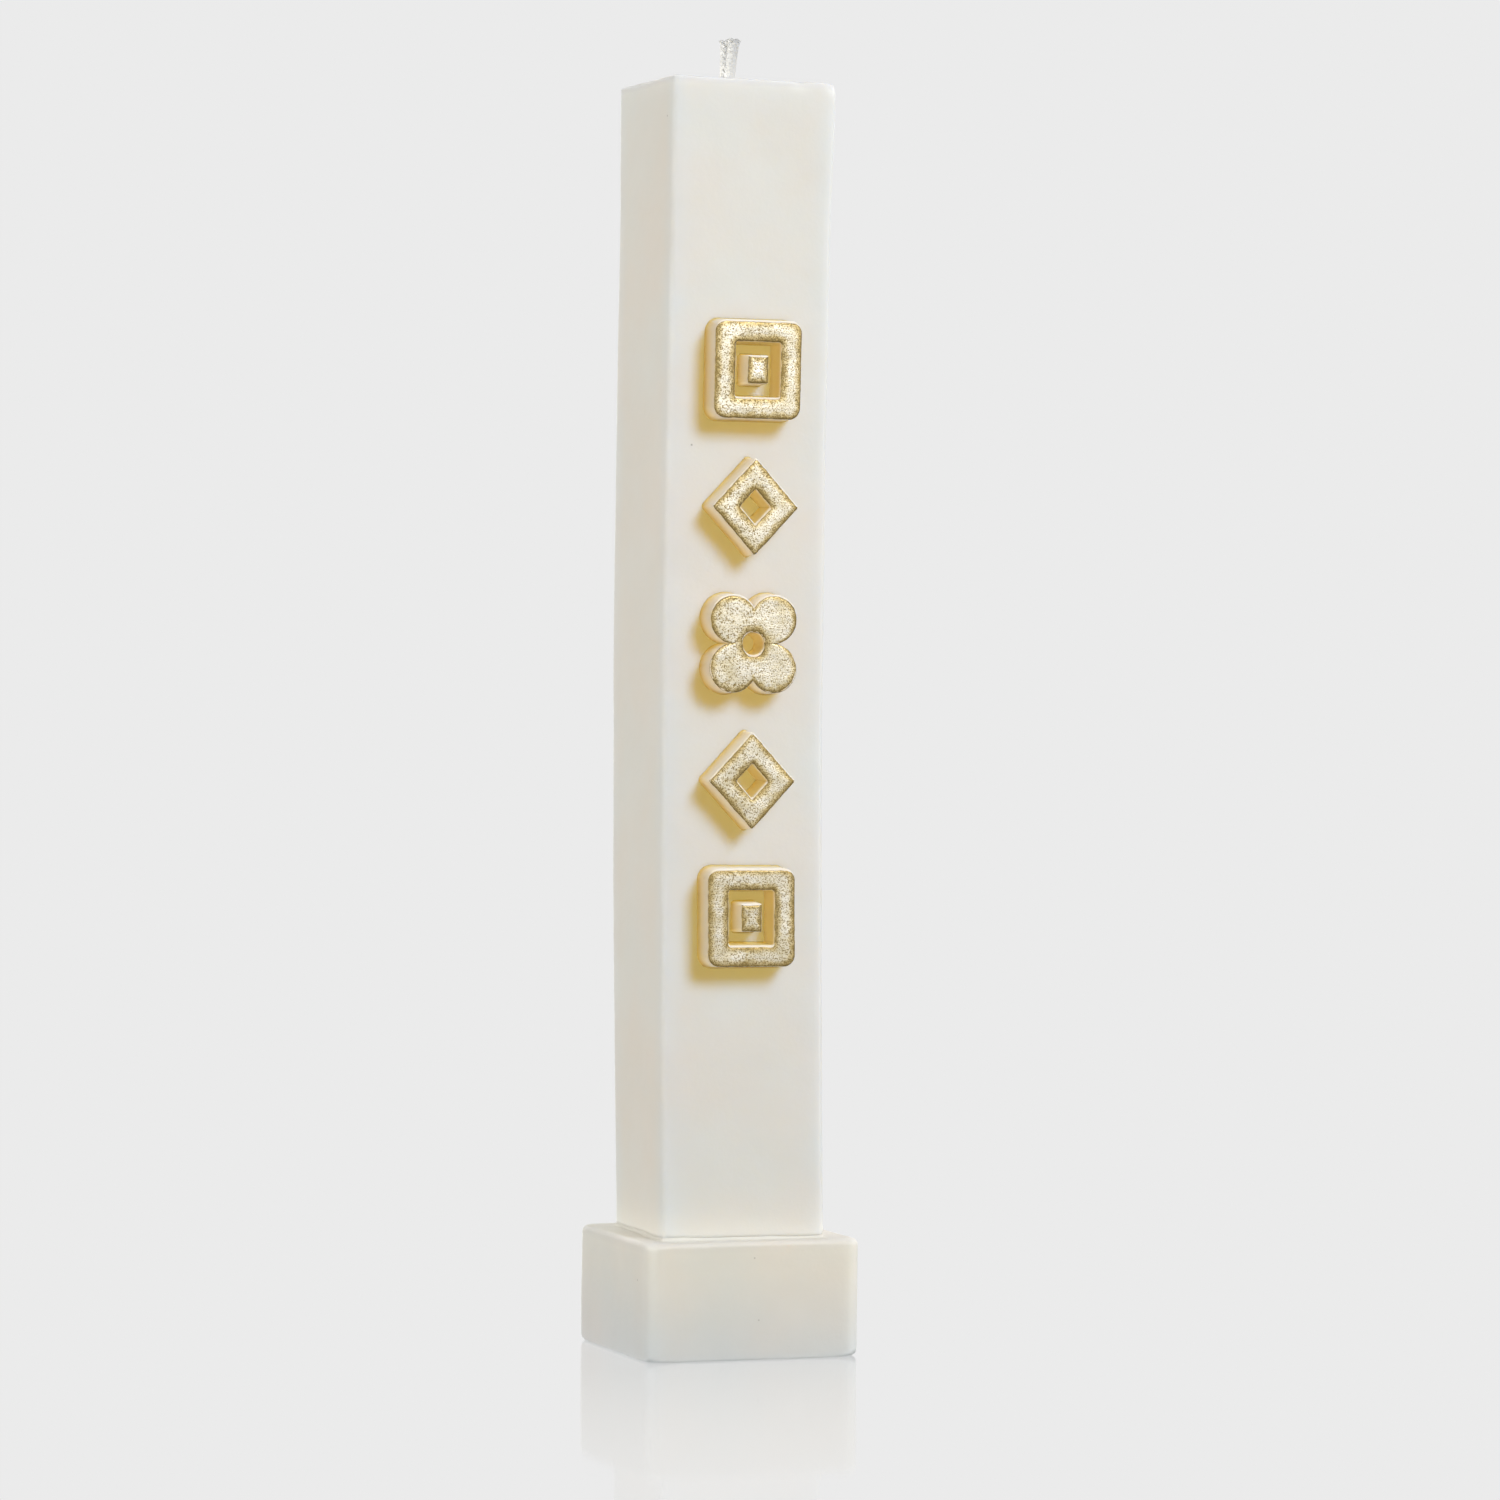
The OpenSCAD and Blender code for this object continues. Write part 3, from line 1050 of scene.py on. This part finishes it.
def wick_path(node, side, lean):
    """A wick's centre line as a function of length along it, from tab to tip, and its whole length."""
    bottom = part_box(node)[0].z
    start = Vector((0, side * WICK_OFFSET, bottom))
    straight = COLUMN_TOP - bottom

    def at(length):
        up = min(length, straight)
        over = max(0.0, length - straight)
        drift = -0.2 * MM * math.exp(-((straight - up) / (12 * MM)) ** 2)
        aside = drift + lean * over ** 1.15 * BARE_WICK ** -0.15
        return start + Vector((aside, 0, up + over * math.sqrt(1 - lean ** 2)))

    return at, straight + BARE_WICK


def tube(points, radii, sides=6):
    """Points and faces of a closed tube along a line."""
    loops = []
    for i, point in enumerate(points):
        ahead = Vector(points[min(i + 1, len(points) - 1)]) - Vector(points[max(i - 1, 0)])
        ahead.normalize()
        across = ahead.cross(Vector((0.31, 0.87, 0.05))).normalized()
        other = ahead.cross(across)
        loop = []
        for k in range(sides):
            angle = 2 * math.pi * k / sides
            spoke = across * math.cos(angle) + other * math.sin(angle)
            loop.append(tuple(Vector(point) + spoke * float(radii[i])))
        loops.append(np.array(loop))
    return loft(loops, [tuple(points[0]), tuple(points[-1])])


def yarn_tube(at, length, index, rng):
    """One of the braid's eight yarns, four of them turning each way; its cut end flares out."""
    turning = 1 if index < 4 else -1
    phase = (index % 4) * math.pi / 2
    flare = rng.uniform(0.1, 0.4) * MM
    cut = rng.uniform(-0.5, 0.25) * MM
    line, radii = [], []
    for s in np.arange(0, length + cut, 0.32 * MM).tolist():
        angle = phase + turning * 2 * math.pi * s / BRAID_PITCH
        to_tip = max(0.0, 1 - (length - s) / (2.6 * MM))
        radius = BRAID_RADIUS + turning * WEAVE * math.cos(4 * angle) + flare * to_tip ** 2
        line.append(at(s) + level(angle) * radius)
        radii.append(YARN_RADIUS * (1 + 0.15 * to_tip))
    return tube(line, radii)


def core_tube(at, length):
    """The wick's core, which fills the gaps between the yarns."""
    line = [at(s) for s in np.arange(0, length - 0.4 * MM, 0.8 * MM).tolist()]
    return tube(line, [CORE_RADIUS] * len(line), 20)


def fray_tube(at, length, rng):
    """One loose fibre that curls outwards near the cut tip."""
    angle, lift = rng.uniform(0, 2 * math.pi), rng.uniform(0.0, 1.6) * MM
    reach = rng.uniform(0.3, 1.0) * MM
    root = at(length - lift - 0.9 * MM) + level(angle) * rng.uniform(0.2, 0.9) * MM
    line = []
    for t in np.linspace(0, 1, 6).tolist():
        out = reach * t ** 2 * rng.uniform(0.8, 1.2)
        up = t * (lift + rng.uniform(0.5, 0.9) * MM)
        line.append(root + level(angle) * out + Vector((0, 0, up)))
    return tube(line, [0.045 * MM, 0.045 * MM, 0.04 * MM, 0.035 * MM, 0.03 * MM, 0.02 * MM], 4)


def make_wick(node, side, lean, material, seed):
    """Eight yarns braided over a core, splayed and frayed at the cut tip."""
    rng = random.Random(seed)
    at, length = wick_path(node, side, lean)
    parts = [yarn_tube(at, length, index, rng) for index in range(8)]
    parts.append(core_tube(at, length))
    parts += [fray_tube(at, length, rng) for _ in range(70)]
    points, faces, count = [], [], 0
    for part_points, part_faces in parts:
        points.append(part_points)
        faces += [tuple(count + i for i in face) for face in part_faces]
        count += len(part_points)
    return add_piece(node + "_braid", settle(np.concatenate(points)), faces, material)


# ---------------------------------------------------------------- assembly

def stand_for(piece, node):
    """Says which body a piece rides on, and hides the CAD node that it replaces."""
    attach(piece, "root")
    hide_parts(node)


def make_large_pieces():
    """The column, the foot and the bead between them."""
    scatter = 2.8 * MM
    ivory = wax_material("ivory_wax", (0.85, 0.825, 0.77), (0.83, 0.805, 0.745), scatter)
    grey = wax_material(
        "foot_wax", (0.775, 0.74, 0.652), (0.735, 0.705, 0.622), scatter, edge_sheen_tint=FOOT_EDGE_SHEEN)
    # The bead's wax is painted darker than the column's, as shade that tones down the light its sloping face
    # catches.
    melted_wax_painted_darker = wax_material("bead_wax", (0.70, 0.68, 0.63), (0.68, 0.66, 0.605), 0.0, gloss=0.1)
    column = make_column(ivory)
    foot = make_foot(grey)
    bead = make_bead(melted_wax_painted_darker)
    stand_for(column, "column")
    stand_for(foot, "foot")
    stand_for(bead, "join_bead")
    return [column, foot, bead]


def make_wicks():
    """Both wicks; the front one leans."""
    cotton = cotton_material()
    front = make_wick("wick_front", -1, 0.11, cotton, 5)
    back = make_wick("wick_back", 1, 0.01, cotton, 6)
    stand_for(front, "wick_front")
    stand_for(back, "wick_back")
    return [front, back]


def make_relief():
    """The relief blocks and their gilded skins."""
    thin_ivory = wax_material(
        "thin_ivory_wax", (0.84, 0.80, 0.72), (0.81, 0.77, 0.69), 1.2 * MM, gloss=0.2)
    blocks, skins = [], []
    for block, skin, node, skin_node in make_ornaments(thin_ivory, gilding_material()):
        stand_for(block, node)
        stand_for(skin, skin_node)
        blocks.append(block)
        skins.append(skin)
    return blocks, skins


def dress_tab():
    """The wicks' tab keeps its CAD shape, hidden in the wax, and gets a steel material."""
    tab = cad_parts["wick_tab"]
    tab.data.materials.clear()
    tab.data.materials.append(steel_material())


place_camera()
light_world()
lay_floor()
large_pieces = make_large_pieces()
both_wicks = make_wicks()
relief_blocks, gilded_skins = make_relief()
dress_tab()
light_studio(relief_blocks, gilded_skins, large_pieces, both_wicks)
bpy.context.scene.view_settings.view_transform = "Standard"
